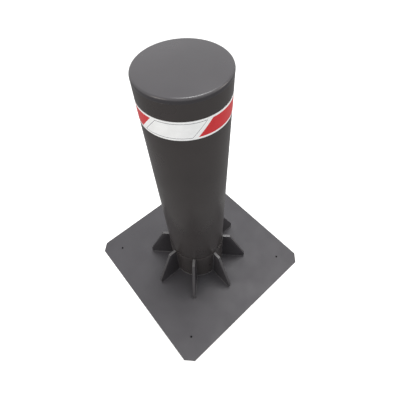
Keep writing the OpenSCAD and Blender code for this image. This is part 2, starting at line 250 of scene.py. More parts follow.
def metres(tree, scale=(1, 1, 1), turn=0.0):
    """Object coordinates, stretched and turned about Z."""
    place = add(tree, "ShaderNodeTexCoord")
    mapping = add(tree, "ShaderNodeMapping", {"Vector": place.outputs["Object"]},
                  Scale=scale, Rotation=(0, 0, turn))
    return mapping.outputs["Vector"]


def noise(tree, where, scale, detail=3.0, roughness=0.5):
    node = add(tree, "ShaderNodeTexNoise", {"Vector": where}, Scale=scale, Detail=detail, Roughness=roughness)
    return node.outputs["Fac"]


def remap(tree, value, low, high, to_low, to_high):
    """A value carried from one range to another, clamped."""
    node = add(tree, "ShaderNodeMapRange", {"Value": value},
               From_Min=low, From_Max=high, To_Min=to_low, To_Max=to_high)
    return node.outputs["Result"]


def math_node(tree, operation, a, b=None):
    node = tree.nodes.new("ShaderNodeMath")
    node.operation = operation
    for socket, value in zip(node.inputs, (a, b)):
        if value is None:
            continue
        if isinstance(value, (int, float)):
            socket.default_value = value
        else:
            tree.links.new(value, socket)
    return node.outputs[0]


def times(tree, a, b):
    return math_node(tree, "MULTIPLY", a, b)


def plus(tree, a, b):
    return math_node(tree, "ADD", a, b)


def blend_colour(tree, factor, first, second):
    """A mix of two colours, each a plain colour or a socket."""
    node = tree.nodes.new("ShaderNodeMix")
    node.data_type = "RGBA"
    tree.links.new(factor, node.inputs[0])
    for socket, value in ((node.inputs[6], first), (node.inputs[7], second)):
        if isinstance(value, (tuple, list)):
            socket.default_value = (*value[:3], 1)
        else:
            tree.links.new(value, socket)
    return node.outputs[2]


def bump(tree, shader, height, strength, distance, under=None):
    node = add(tree, "ShaderNodeBump", {"Height": height}, Strength=strength, Distance=distance)
    if under is not None:
        tree.links.new(under, node.inputs["Normal"])
    tree.links.new(node.outputs["Normal"], shader.inputs["Normal"])
    return node.outputs["Normal"]


# %% [markdown]
# ### Anthracite powder coat
# Powder coat is a plastic skin: matt to silky, with a fine orange peel where the powder ran together. On a
# bollard it also carries grit nibs and dull wipe marks. Colour noise gives the cloudiness, a Voronoi pattern
# with only a few of its cells kept gives the nibs, and stretched noise gives the scuffs. On the gussets the
# coat is blended lighter, in patches, where the surface faces up: a painted top light that stands in for the
# brightness that overhead light gives their flat tops.

# %% Powder coat
POST_TONE = (0.0350, 0.0308, 0.0305)
PLATE_TONE = (0.0335, 0.0315, 0.0366)
CAP_TONE = (0.0330, 0.0308, 0.0345)
SCUFF = (0.11, 0.108, 0.108)
# Colour of the painted top light: the paler tone that overhead light gives the gussets' flat tops.
PAINTED_TOP_LIGHT = (0.085, 0.083, 0.085)


def up_facing(tree, low, high):
    """1 where the surface faces straight up, less the more it slopes."""
    place = add(tree, "ShaderNodeNewGeometry")
    parts = add(tree, "ShaderNodeSeparateXYZ", {"Vector": place.outputs["Normal"]})
    return remap(tree, parts.outputs["Z"], low, high, 0, 1)


def powder_coat(name, colour, scuffs, coat_roughness, top_light=0.0):
    material, tree, shader = new_finish(name)
    where = metres(tree)
    cloud = noise(tree, where, 6.0, 4.0)
    darker = tuple(c * 0.90 for c in colour)
    lighter = tuple(c * 1.10 for c in colour)
    tint = blend_colour(tree, remap(tree, cloud, 0.35, 0.65, 0, 1), darker, lighter)

    speckle = noise(tree, where, 1400.0, 1.0)
    tint = blend_colour(tree, remap(tree, speckle, 0.60, 0.80, 0, 0.15), tint, lighter)

    cells = add(tree, "ShaderNodeTexVoronoi", {"Vector": where}, Scale=30.0)
    chosen = add(tree, "ShaderNodeSeparateColor", {"Color": cells.outputs["Color"]})
    kept = math_node(tree, "GREATER_THAN", chosen.outputs[0], 0.87)
    near = remap(tree, cells.outputs["Distance"], 0.018, 0.030, 1, 0)
    nibs = times(tree, kept, near)
    tint = blend_colour(tree, times(tree, nibs, 0.75), tint, (0.26, 0.26, 0.255))

    long_marks = noise(tree, metres(tree, (2.2, 60.0, 2.2), 0.5), 3.0, 6.0, 0.6)
    cross_marks = noise(tree, metres(tree, (70.0, 3.0, 3.0), -0.3), 2.0, 5.0, 0.6)
    where_worn = remap(tree, noise(tree, where, 4.5, 2.0), 0.52, 0.72, 0, 1)
    long_marks = remap(tree, long_marks, 0.66, 0.74, 0, 1)
    cross_marks = remap(tree, cross_marks, 0.68, 0.75, 0, 1)
    marks = plus(tree, long_marks, cross_marks)
    scuffed = times(tree, times(tree, marks, where_worn), scuffs)
    tint = blend_colour(tree, scuffed, tint, SCUFF)
    # Painted top light: the coat turns lighter, in patches, where the surface faces up, as if lit from above.
    if top_light > 0:
        patchy = remap(tree, noise(tree, where, 90.0, 3.0), 0.25, 0.6, 0.6 * top_light, top_light)
        top_light_mask = times(tree, up_facing(tree, 0.15, 1.0), patchy)
        tint = blend_colour(tree, top_light_mask, tint, PAINTED_TOP_LIGHT)
    tree.links.new(tint, shader.inputs["Base Color"])

    wiped = remap(tree, noise(tree, where, 11.0, 3.0), 0.3, 0.7, coat_roughness - 0.05, coat_roughness + 0.06)
    rough = plus(tree, wiped, times(tree, scuffed, 0.3))
    tree.links.new(rough, shader.inputs["Roughness"])
    peel = noise(tree, where, 420.0, 2.0)
    under = bump(tree, shader, peel, 0.06, 0.0006)
    bump(tree, shader, nibs, 0.2, 0.0004, under)
    return material


POST_PAINT = powder_coat("anthracite_post_coat", POST_TONE, 0.10, 0.30)
CAP_PAINT = powder_coat("anthracite_cap_coat", CAP_TONE, 0.10, 0.31)
PLATE_PAINT = powder_coat("anthracite_plate_coat", PLATE_TONE, 0.32, 0.56)
# The gussets' coat carries the painted top light at full strength.
GUSSET_PAINT = powder_coat("anthracite_gusset_coat", CAP_TONE, 0.15, 0.42, 1.0)
# The weld coat is the anthracite coat made lighter: a painted highlight for the light line that the bead
# fillets catch.
BEAD_PAINT = powder_coat("anthracite_weld_coat", (0.056, 0.054, 0.057), 0.0, 0.34)
COATS = (POST_PAINT, CAP_PAINT, PLATE_PAINT, GUSSET_PAINT, BEAD_PAINT)
print("powder coats:", ", ".join(coat.name for coat in COATS))

# %% [markdown]
# ### Metals, rubber and plastics
# Below the plate every part has a trade finish. Most of them differ only in colour, gloss and the kind of
# mark that making left behind, so one recipe takes those as numbers: cloudy colour, a roughness that
# wanders between two limits, turning lines that follow the part round its axis, and a grain like that of a
# casting or a moulding.

# %% The workshop recipe
def turning_lines(tree, pitch):
    """Fine grooves: circles round the axis on a face, and level lines on an outside."""
    place = add(tree, "ShaderNodeTexCoord")
    parts = add(tree, "ShaderNodeSeparateXYZ", {"Vector": place.outputs["Object"]})
    across = plus(tree, *(times(tree, parts.outputs[axis], parts.outputs[axis]) for axis in "XY"))
    radius = math_node(tree, "SQRT", across)
    run = plus(tree, radius, parts.outputs["Z"])
    path = times(tree, run, math.tau / pitch)
    return math_node(tree, "SINE", path)


def workshop(name, colour, rough, metallic, lines=0.0, grain=0.0, grain_scale=300.0, cloud=0.12):
    """A finish from its colour, its lowest and highest roughness, and how strong its marks are."""
    material, tree, shader = new_finish(name, Metallic=metallic)
    where = metres(tree)
    patches = remap(tree, noise(tree, where, 24.0, 4.0), 0.35, 0.65, 0, 1)
    darker = tuple(c * (1 - cloud) for c in colour)
    lighter = tuple(c * (1 + cloud) for c in colour)
    tint = blend_colour(tree, patches, darker, lighter)
    tree.links.new(tint, shader.inputs["Base Color"])
    wander = remap(tree, noise(tree, where, 60.0, 3.0), 0.3, 0.7, rough[0], rough[1])
    tree.links.new(wander, shader.inputs["Roughness"])
    under = None
    if lines > 0:
        under = bump(tree, shader, turning_lines(tree, 0.0009), lines, 0.0001, under)
    if grain > 0:
        bump(tree, shader, noise(tree, where, grain_scale, 3.0), grain, 0.0005, under)
    return material


MACHINED = workshop("machined_steel_face", (0.56, 0.56, 0.57), (0.24, 0.36), 1.0, lines=0.25)
SCREW_STEEL = workshop("oiled_screw_steel", (0.40, 0.40, 0.41), (0.14, 0.26), 1.0, lines=0.12)
BEARING_STEEL = workshop("polished_bearing_steel", (0.66, 0.66, 0.67), (0.07, 0.14), 1.0, lines=0.05)
BRONZE = workshop("nut_bronze_face", (0.50, 0.31, 0.13), (0.25, 0.40), 1.0, lines=0.25, cloud=0.2)
ZINC = workshop("zinc_on_screws", (0.58, 0.59, 0.58), (0.30, 0.45), 1.0, grain=0.1, grain_scale=900.0)
POLYMER = workshop("ivory_guide_polymer", (0.70, 0.67, 0.58), (0.42, 0.55), 0.0, lines=0.35, cloud=0.04)
RUBBER = workshop("black_rubber_skin", (0.020, 0.020, 0.021), (0.62, 0.80), 0.0,
                  grain=0.35, grain_scale=1200.0)
CAST = workshop("sand_cast_aluminium", (0.50, 0.51, 0.52), (0.45, 0.62), 0.85, grain=0.9, grain_scale=700.0)
MOTOR_PAINT = workshop("motor_enamel", (0.045, 0.085, 0.13), (0.28, 0.42), 0.0, grain=0.5, grain_scale=260.0)
GLAND = workshop("gland_plastic_skin", (0.028, 0.028, 0.030), (0.40, 0.52), 0.0,
                 grain=0.3, grain_scale=1500.0)
# Near black: painted shade for the inside of the four anchor holes.
HOLE_SHADE_BLACK = workshop("painted_hole_shade", (0.004, 0.004, 0.004), (0.85, 0.95), 0.0, grain=0.2)
BRASS = workshop("nickelled_brass", (0.60, 0.50, 0.30), (0.18, 0.30), 1.0, lines=0.2)
print("workshop finishes:", 12)

# %% [markdown]
# Hot-dip galvanising freezes into spangle: flat crystals a centimetre across, each with its own grey and
# gloss. A Voronoi pattern is just that, and a coarser noise lays the dull zinc patina over part of it.

# %% Galvanised steel
def galvanised(name, spangle):
    material, tree, shader = new_finish(name, Metallic=0.85)
    where = metres(tree)
    bent = add(tree, "ShaderNodeVectorMath", operation="ADD")
    tree.links.new(where, bent.inputs[0])
    ragged = add(tree, "ShaderNodeTexNoise", {"Vector": where}, Scale=140.0)
    small = add(tree, "ShaderNodeVectorMath", {"Vector": ragged.outputs["Color"]},
                operation="SCALE", Scale=0.006)
    tree.links.new(small.outputs["Vector"], bent.inputs[1])
    cells = add(tree, "ShaderNodeTexVoronoi", {"Vector": bent.outputs["Vector"]}, Scale=spangle)
    grey = add(tree, "ShaderNodeSeparateColor", {"Color": cells.outputs["Color"]})
    tint = blend_colour(tree, grey.outputs[0], (0.40, 0.415, 0.43), (0.66, 0.67, 0.68))
    patina = remap(tree, noise(tree, where, 7.0, 5.0, 0.6), 0.42, 0.66, 0, 0.75)
    tree.links.new(blend_colour(tree, patina, tint, (0.42, 0.43, 0.435)), shader.inputs["Base Color"])
    gloss = remap(tree, grey.outputs[1], 0, 1, 0.30, 0.48)
    dulled = plus(tree, gloss, times(tree, patina, 0.2))
    tree.links.new(dulled, shader.inputs["Roughness"])
    bump(tree, shader, noise(tree, where, 55.0, 3.0), 0.25, 0.0008)
    return material


GALVANISED = galvanised("galvanised_spangle", 85.0)
print("zinc:", GALVANISED.name)

# %% [markdown]
# ### Reflective film
# Reflective tape is a clear film over thousands of tiny cells. Their walls show as a faint diamond net, so
# two sets of slanted lines are laid over a pearly white or a clear red, in the tape's own UV map, which is
# in metres along and across the tape. The face is glossy, with a little extra clear coat.

# %% Reflective films
CELL = 3.2 * MM


def film(name, colour, net_colour, glint):
    material, tree, shader = new_finish(name, Roughness=0.40, Coat_Weight=0.15, Coat_Roughness=0.15)
    flat = add(tree, "ShaderNodeTexCoord").outputs["UV"]
    parts = add(tree, "ShaderNodeSeparateXYZ", {"Vector": flat})
    walls = None
    for side in (1, -1):
        lean = times(tree, parts.outputs["Y"], side * 0.62)
        slant = plus(tree, parts.outputs["X"], lean)
        wave = math_node(tree, "SINE", times(tree, slant, math.tau / CELL))
        line = remap(tree, wave, 0.80, 1.0, 0, 1)
        walls = line if walls is None else math_node(tree, "MAXIMUM", walls, line)
    cloud = remap(tree, noise(tree, flat, 45.0, 2.0), 0.35, 0.65, 0, 1)
    tint = blend_colour(tree, cloud, colour, tuple(c * 0.93 for c in colour))
    tint = blend_colour(tree, times(tree, walls, glint), tint, net_colour)
    tree.links.new(tint, shader.inputs["Base Color"])
    bump(tree, shader, walls, 0.15, 0.0002)
    return material


WHITE_FILM = film("pearl_white_film", (0.95, 0.965, 0.97), (0.78, 0.81, 0.82), 0.5)
RED_FILM = film("red_film", (0.64, 0.024, 0.030), (0.50, 0.018, 0.024), 0.5)
PRINT_FILM = film("grey_print_on_film", (0.09, 0.09, 0.12), (0.08, 0.08, 0.10), 0.5)
print("films:", WHITE_FILM.name, RED_FILM.name, PRINT_FILM.name)

# %% [markdown]
# ## The stage and the light
# A pale floor and soft light from above: a bright sky overhead that fades towards the horizon, so what
# faces up is light and what stands upright is dark; one large lamp behind the post, which throws the soft
# shadows of the gussets towards the viewer; and two weak side lamps that draw a line along the rounded rim
# of the cap.

# %% Floor, sky and lamps
FLOOR_HALF = 150.0


def lay_floor():
    mesh = bpy.data.meshes.new("floor")
    corners = [(-1, -1), (1, -1), (1, 1), (-1, 1)]
    mesh.from_pydata([(x * FLOOR_HALF, y * FLOOR_HALF, GROUND) for x, y in corners], [], [(0, 1, 2, 3)])
    material, tree, shader = new_finish("pale_floor", Roughness=0.9)
    shader.inputs["Specular IOR Level"].default_value = 0.1
    grain = noise(tree, metres(tree), 3.0, 2.0)
    tint = blend_colour(tree, grain, (0.90, 0.90, 0.90), (0.94, 0.94, 0.94))
    tree.links.new(tint, shader.inputs["Base Color"])
    mesh.materials.append(material)
    floor = put("floor", mesh)
    floor.visible_glossy = False
    floor.visible_diffuse = False


def light_sky(overhead, horizon, below):
    """A sky that is brightest straight up, weaker at the horizon and dim below it."""
    world = bpy.data.worlds.new("soft_sky")
    world.use_nodes = True
    tree = world.node_tree
    place = add(tree, "ShaderNodeTexCoord")
    parts = add(tree, "ShaderNodeSeparateXYZ", {"Vector": place.outputs["Generated"]})
    rise = remap(tree, parts.outputs["Z"], 0.15, 0.85, horizon, overhead)
    level = remap(tree, parts.outputs["Z"], -0.10, 0.0, 0, 1)
    dim = times(tree, math_node(tree, "SUBTRACT", 1.0, level), below)
    glow = plus(tree, times(tree, rise, level), dim)
    tree.nodes["Background"].inputs["Color"].default_value = (1, 1, 1, 1)
    tree.links.new(glow, tree.nodes["Background"].inputs["Strength"])
    bpy.context.scene.world = world


def hang_lamp(name, place, aim, size, power, colour=(1, 1, 1)):
    lamp = bpy.data.lights.new(name, "AREA")
    lamp.shape = "DISK"
    lamp.size = size
    lamp.energy = power
    lamp.color = colour
    holder = put(name, lamp)
    holder.location = place
    holder.rotation_euler = (Vector(aim) - Vector(place)).to_track_quat("-Z", "Y").to_euler()


lay_floor()
light_sky(1.35, 1.0, 0.36)
WARM = (1.0, 0.90, 0.80)
bpy.context.scene.view_settings.view_transform = "Standard"
hang_lamp("overhead", (0.95, 0.4, 4.3), (0, 0, 0), 1.6, 100)
hang_lamp("left_side", (-3.2, 0.2, 2.6), (0, 0, 0.9), 1.2, 32, WARM)
hang_lamp("right_side", (2.9, -2.1, 2.8), (0, 0, 0.9), 1.2, 32, WARM)
print("stage and three lamps are up")

# %% [markdown]
# ## Post and cap
# The post is a tube with a flat cap welded on and ground flush. Only the cap's rounded rim shows, so the
# tube and cap are two turned profiles with a hairline at the joint.

# %% Post tube and cap
def fit_out(piece, body, slot, *nodes):
    """Hangs the piece on its body's empty and hides the design parts that it stands for; slot is not used."""
    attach(piece, body)
    if nodes:
        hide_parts(*nodes)
    print(f"{piece.name}: {len(piece.data.polygons)} faces on {body}")


fit_out(turned("post_tube_shell", ring_corners(POST_IN, POST_OUT, POST_LOW, POST_HIGH, 0.3 * MM), POST_PAINT,
               steps=192), "post", "anthracite_paint", "post_tube")

CAP_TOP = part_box("post_cap")[1].z
CAP_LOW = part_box("post_cap")[0].z
CAP_ROUND = 10 * MM
SPIGOT_OUT = POST_IN - 0.4 * MM
SPIGOT_IN = SPIGOT_OUT - 8 * MM
cap_corners = [
    (0, POST_HIGH, 0), (SPIGOT_IN, POST_HIGH, 1 * MM), (SPIGOT_IN, CAP_LOW, 0.5 * MM),
    (SPIGOT_OUT, CAP_LOW, 0.8 * MM), (SPIGOT_OUT, POST_HIGH, 0), (POST_OUT, POST_HIGH, 0.3 * MM),
    (POST_OUT, CAP_TOP, CAP_ROUND), (0, CAP_TOP, 0)]
fit_out(turned("cap_disc", cap_corners, CAP_PAINT, closed=False, steps=192, arc=10),
        "post", "anthracite_paint", "post_cap")

# %% [markdown]
# ## Reflective tape
# The tape is one printed strip: white borders above and below, and slanted red and white panels between
# them. Each white panel has a thin grey printed frame. The strip is a grid wrapped round the post, sheared
# so that the panel edges lean, and each cell of the grid takes the film it shows. That keeps every printed
# edge crisp. The outside, the two cut edges and the glued back are one closed shell.

# %% Wrap the tape
TAPE_LOW, TAPE_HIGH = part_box("reflective_band")[0].z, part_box("reflective_band")[1].z
TAPE_OUT = POST_OUT + 0.36 * MM
TAPE_BACK = POST_OUT + 0.02 * MM
BORDER = 5 * MM
LEAN_DEG = 17.9
FRAME_INSET_DEG = math.degrees(12.3 * MM / TAPE_OUT)
PRINT_W = 1.1 * MM
PRINT_DEG = math.degrees(PRINT_W / TAPE_OUT)
PANELS = [(-177.4, -105.4, "white"), (-105.4, -33.4, "red"), (-33.4, 38.6, "white"), (38.6, 74.6, "red"),
          (74.6, 110.6, "white"), (110.6, 182.6, "red")]
CELL_DEG = 2.5
FILMS = {"white": 0, "red": 1, "print": 2}


def tape_columns():
    """Angle where each column of cells starts, and the film or printed line that it shows."""
    columns = []
    for start, end, kind in PANELS:
        marks = [start, end]
        if kind == "white":
            inset, line = FRAME_INSET_DEG, PRINT_DEG
            marks = [start, start + inset, start + inset + line, end - inset - line, end - inset, end]
        for i, (low, high) in enumerate(zip(marks, marks[1:])):
            steps = max(1, math.ceil((high - low) / CELL_DEG))
            role = kind
            if kind == "white" and i in (1, 3):
                role = "print"
            elif kind == "white" and i == 2:
                role = "framed"
            columns += [(low + (high - low) * k / steps, role) for k in range(steps)]
    return columns


def wrap_tape():
    columns = tape_columns()
    middle = (TAPE_LOW + TAPE_HIGH) / 2
    panel_h = TAPE_HIGH - TAPE_LOW - 2 * BORDER
    levels = [TAPE_LOW, TAPE_LOW + BORDER, TAPE_LOW + BORDER + PRINT_W]
    levels += [TAPE_LOW + BORDER + panel_h * k / 8 for k in range(1, 8)]
    levels += [TAPE_HIGH - BORDER - PRINT_W, TAPE_HIGH - BORDER, TAPE_HIGH]
    profile = [(TAPE_BACK, TAPE_LOW)] + [(TAPE_OUT, z) for z in levels] + [(TAPE_BACK, TAPE_HIGH)]
    bm = bmesh.new()
    uv = bm.loops.layers.uv.new("UVMap")
    grid = []
    for start, role in columns:
        line = []
        for radius, z in profile:
            angle = math.radians(start + LEAN_DEG * (z - middle) / panel_h)
            line.append(bm.verts.new(polar(radius, angle, z)))
        grid.append(line)
    starts = [c[0] for c in columns] + [columns[0][0] + 360]
    for i, (start, role) in enumerate(columns):
        here, after = grid[i], grid[(i + 1) % len(grid)]
        for j in range(len(profile)):
            k = (j + 1) % len(profile)
            face = bm.faces.new((here[j], after[j], after[k], here[k]))
            film_kind = "white"
            if 2 <= j <= len(levels) - 2:
                film_kind = {"framed": "white", "print": "print"}.get(role, role)
                if role in ("framed", "print") and j in (2, len(levels) - 2):
                    film_kind = "print"
            face.material_index = FILMS[film_kind]
            for loop, (column, row) in zip(face.loops, ((i, j), (i + 1, j), (i + 1, k), (i, k))):
                z = profile[row][1]
                around = math.radians(starts[column] + LEAN_DEG * (z - middle) / panel_h)
                loop[uv].uv = (around * TAPE_OUT, z - TAPE_LOW)
    bmesh.ops.recalc_face_normals(bm, faces=bm.faces)
    mesh = as_mesh("tape_wrap", bm)
    kinds = [p.material_index for p in mesh.polygons]
    piece = finish_mesh("tape_wrap", mesh, WHITE_FILM, 40)
    mesh.materials.append(RED_FILM)
    mesh.materials.append(PRINT_FILM)
    for polygon, kind in zip(mesh.polygons, kinds):
        polygon.material_index = kind
    return piece


fit_out(wrap_tape(), "post", "reflective_tape", "reflective_band")

# %% [markdown]
# ## Softened design parts
# A plate that was cut, drilled and deburred has small bevels on all its edges. Its shape is already right
# in the design model, so the piece starts as a copy of that mesh: the loose triangles are joined, flat
# areas are merged into single faces, and every sharp edge gets a narrow bevel.

# %% Bevel a copy of a design part
def softened(name, node, material, width, sharp=30, segments=2):
    bm = bmesh.new()
    bm.from_mesh(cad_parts[node].data)
    bmesh.ops.remove_doubles(bm, verts=bm.verts, dist=2e-6)
    bmesh.ops.dissolve_limit(bm, angle_limit=math.radians(0.5), verts=bm.verts, edges=bm.edges)
    limit = math.radians(sharp)
    edges = [e for e in bm.edges if len(e.link_faces) == 2 and e.calc_face_angle(0) > limit]
    bmesh.ops.bevel(bm, geom=edges, offset=width, offset_type="OFFSET", segments=segments, profile=0.6,
                    affect="EDGES", clamp_overlap=True)
    bmesh.ops.triangulate(bm, faces=[f for f in bm.faces if len(f.verts) > 4])
    return finish_mesh(name, as_mesh(name, bm), material, 15)


fit_out(softened("ground_plate", "base_plate", PLATE_PAINT, 0.9 * MM),
        "ground_frame", "anthracite_paint", "base_plate")

# %% [markdown]
# Each of the four anchor holes holds a near-black shallow cup, low down: painted shade that stands in for
# the shade inside the hole.

# %% Painted shade cups in the corner holes
HOLE_R = 4.5 * MM
HOLE_INSET = 75 * MM
HOLE_AT = PLATE_HALF - HOLE_INSET
SHADE_CUP_LOW, SHADE_CUP_HIGH = 0.3 * MM, 2.6 * MM
CUP_FLOOR = SHADE_CUP_HIGH - 1.2 * MM


# Near-black cups low in the anchor holes, standing in for the shade inside them.
def hole_plugs():
    bm = bmesh.new()
    outline = rounded([(0, SHADE_CUP_LOW, 0), (HOLE_R, SHADE_CUP_LOW, 0.4 * MM), (HOLE_R, SHADE_CUP_HIGH, 0.3 * MM),
                       (HOLE_R - 1 * MM, SHADE_CUP_HIGH, 0.3 * MM), (HOLE_R - 1.2 * MM, CUP_FLOOR, 0.3 * MM),
                       (0, CUP_FLOOR, 0)], closed=False, steps=2)
    for x in (-HOLE_AT, HOLE_AT):
        for y in (-HOLE_AT, HOLE_AT):
            first = len(bm.verts)
            spin(bm, outline, closed=False, steps=24)
            bm.verts.ensure_lookup_table()
            bmesh.ops.translate(bm, verts=bm.verts[first:], vec=(x, y, 0))
    return from_bmesh("hole_plugs", bm, HOLE_SHADE_BLACK)


fit_out(hole_plugs(), "ground_frame", "gland_plastic")

# %% [markdown]
# ## Collar
# The collar is thin, and its mouth is filed to a taper so that rain and dirt run off and nothing catches.

# %% Collar
TAPER = 12 * MM
MOUTH_EDGE = 0.8 * MM
collar_corners = [
    (COLLAR_IN, PLATE_TOP, 0), (COLLAR_OUT, PLATE_TOP, 0), (COLLAR_OUT, MOUTH - TAPER, 2 * MM),
    (COLLAR_IN + MOUTH_EDGE, MOUTH, 0.3 * MM), (COLLAR_IN, MOUTH, 0.2 * MM)]
fit_out(turned("collar_sleeve", collar_corners, POST_PAINT, steps=192),
        "ground_frame", "anthracite_paint", "collar")

# %% [markdown]
# ## Gussets
# Eight equal gussets stand round the collar. One is made as a flat outline with every edge rounded over,
# and Geometry Nodes puts it round the axis: a cloud of points at the centre, one copy on each, each copy
# turned by its number. The copies are then made real and merged into one mesh, because the export only
# keeps real geometry.

# %% Geometry Nodes helpers
def new_tree(name, **sizes):
    """A geometry tree with named inputs; returns the tree and its input node."""
    tree = bpy.data.node_groups.new(name, "GeometryNodeTree")
    tree.interface.new_socket("Geometry", in_out="INPUT", socket_type="NodeSocketGeometry")
    for label, kind in sizes.items():
        tree.interface.new_socket(label, in_out="INPUT", socket_type=kind)
    tree.interface.new_socket("Geometry", in_out="OUTPUT", socket_type="NodeSocketGeometry")
    return tree, tree.nodes.new("NodeGroupInput")


def close_tree(tree, geometry, material):
    """Realize Instances and Set Material, then the way out."""
    real = add(tree, "GeometryNodeRealizeInstances", {"Geometry": geometry})
    paint = add(tree, "GeometryNodeSetMaterial", {"Geometry": real.outputs["Geometry"]}, Material=material)
    add(tree, "NodeGroupOutput", {"Geometry": paint.outputs["Geometry"]})


def grow(name, tree, mesh, material, sharp=35, **values):
    """Runs the tree on a mesh with its inputs set, and returns the result as a plain piece."""
    seed = put(name + "_seed", mesh)
    modifier = seed.modifiers.new("grow", "NODES")
    modifier.node_group = tree
    for item in tree.interface.items_tree:
        if item.item_type == "SOCKET" and item.in_out == "INPUT" and item.name in values:
            modifier[item.identifier] = values[item.name]
    bpy.context.view_layer.update()
    evaluated = seed.evaluated_get(bpy.context.evaluated_depsgraph_get())
    result = bpy.data.meshes.new_from_object(evaluated)
    result.name = name
    seed.modifiers.clear()
    bpy.data.objects.remove(seed)
    return finish_mesh(name, result, material, sharp)


# %% A ring of equal copies
def ring_tree(name, material):
    tree, given = new_tree(name, Piece="NodeSocketObject", Count="NodeSocketInt", Radius="NodeSocketFloat",
                           Start="NodeSocketFloat")
    index = add(tree, "GeometryNodeInputIndex").outputs[0]
    share = math_node(tree, "DIVIDE", index, given.outputs["Count"])
    angle = plus(tree, times(tree, share, math.tau), given.outputs["Start"])
    spot = add(tree, "ShaderNodeCombineXYZ")
    for axis, turn in (("X", "COSINE"), ("Y", "SINE")):
        reach = times(tree, math_node(tree, turn, angle), given.outputs["Radius"])
        tree.links.new(reach, spot.inputs[axis])
    points = add(tree, "GeometryNodePoints", {"Count": given.outputs["Count"], "Position": spot.outputs[0]})
    facing = add(tree, "ShaderNodeCombineXYZ", {"Z": angle})
    info = add(tree, "GeometryNodeObjectInfo", {"Object": given.outputs["Piece"]})
    copies = add(tree, "GeometryNodeInstanceOnPoints", {
        "Points": points.outputs[0], "Instance": info.outputs["Geometry"], "Rotation": facing.outputs[0]})
    close_tree(tree, copies.outputs["Instances"], material)
    return tree


def ring_of_copies(name, pattern, material, count, radius=0.0, start_deg=0.0, sharp=35):
    """A piece made of equal copies of a pattern object, which is used up."""
    tree = ring_tree(name + "_ring", material)
    piece = grow(name, tree, bpy.data.meshes.new(name + "_empty"), material, sharp,
                 Piece=pattern, Count=count, Radius=radius, Start=math.radians(start_deg))
    bpy.data.objects.remove(pattern)
    return piece


# %% The gusset and its ring
GUSSETS = 8
GUSSET_STEP = 360 / GUSSETS
GUSSET_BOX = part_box("gusset_1")
GUSSET_T = GUSSET_BOX[1].y - GUSSET_BOX[0].y
GUSSET_TIP = 28 * MM
GUSSET_FLAT = 30 * MM
GUSSET_EDGE = 0.9 * MM


def cut_gusset():
    """One gusset standing along +X: an outline with rounded corners, and its two faces' edges rolled over."""
    inner, outer = GUSSET_BOX[0].x, GUSSET_BOX[1].x
    outline = rounded([(inner, PLATE_TOP, 0), (outer, PLATE_TOP, 0), (outer, PLATE_TOP + GUSSET_TIP, 1 * MM),
                       (inner + GUSSET_FLAT, MOUTH, 1.5 * MM), (inner, MOUTH, 0)], steps=5)
    bm = bmesh.new()
    loops = []
    for side in (-1, 1):
        loops.append([bm.verts.new((p.x, side * GUSSET_T / 2, p.y)) for p in outline])
    bm.faces.new(loops[0])
    bm.faces.new(loops[1])
    for i in range(len(outline)):
        j = (i + 1) % len(outline)
        bm.faces.new((loops[0][i], loops[0][j], loops[1][j], loops[1][i]))
    rims = [e for e in bm.edges if len({round(v.co.y, 6) for v in e.verts}) == 1
            and max(v.co.z for v in e.verts) > PLATE_TOP + 1e-6]
    bmesh.ops.bevel(bm, geom=rims, offset=GUSSET_EDGE, offset_type="OFFSET", segments=2, profile=0.5,
                    affect="EDGES", clamp_overlap=True)
    return from_bmesh("gusset_pattern", bm, GUSSET_PAINT)


fit_out(ring_of_copies("gusset_set", cut_gusset(), GUSSET_PAINT, GUSSETS), "ground_frame", "anthracite_paint",
        *[f"gusset_{i + 1}" for i in range(GUSSETS)])

# %% [markdown]
# ## Weld beads
# A weld is a string of small overlapping puddles. Geometry Nodes follow any path with them: the path is cut
# into short steps, the bead's radius swells and shrinks along it with a wave and a little fixed noise, and
# a small circle is swept along it. The same tree welds the gussets, the collar's foot, the casing's seam
# and its outlets.

# %% Weld tree
def bead_tree(name, material):
    tree, given = new_tree(name, Radius="NodeSocketFloat", Ripple="NodeSocketFloat", Step="NodeSocketFloat")
    path = add(tree, "GeometryNodeMeshToCurve", {"Mesh": given.outputs["Geometry"]})
    cut = add(tree, "GeometryNodeResampleCurve",
              {"Curve": path.outputs["Curve"], "Length": given.outputs["Step"]}, mode="LENGTH")
    along = add(tree, "GeometryNodeSplineParameter").outputs["Length"]
    phase = math_node(tree, "DIVIDE", times(tree, along, math.tau), given.outputs["Ripple"])
    wave = math_node(tree, "SINE", phase)
    wobble = add(tree, "ShaderNodeTexNoise", Scale=90.0).outputs["Fac"]
    swell = plus(tree, times(tree, wave, 0.16), times(tree, wobble, 0.5))
    size = times(tree, plus(tree, swell, 0.65), given.outputs["Radius"])
    ring = add(tree, "GeometryNodeCurvePrimitiveCircle", Resolution=8, Radius=1.0)
    sweep = add(tree, "GeometryNodeCurveToMesh",
                {"Curve": cut.outputs["Curve"], "Scale": size, "Profile Curve": ring.outputs["Curve"]},
                Fill_Caps=True)
    close_tree(tree, sweep.outputs["Mesh"], material)
    return tree


def weld(name, paths, radius, material, ripple=3.2 * MM, step=0.9 * MM):
    """Beads along paths, each a list of points; a path whose ends meet is closed."""
    points, edges = [], []
    for path in paths:
        closed = (Vector(path[0]) - Vector(path[-1])).length < 1e-7
        path = path[:-1] if closed else path
        first = len(points)
        points += [tuple(p) for p in path]
        edges += [(first + i, first + i + 1) for i in range(len(path) - 1)]
        if closed:
            edges.append((len(points) - 1, first))
    mesh = bpy.data.meshes.new(name + "_paths")
    mesh.from_pydata(points, edges, [])
    return grow(name, bead_tree(name + "_bead", material), mesh, material, 60,
                Radius=radius, Ripple=ripple, Step=step)


def level_arc(radius, z, start_deg, end_deg, steps):
    angles = [math.radians(start_deg + (end_deg - start_deg) * k / steps) for k in range(steps + 1)]
    return [polar(radius, a, z) for a in angles]


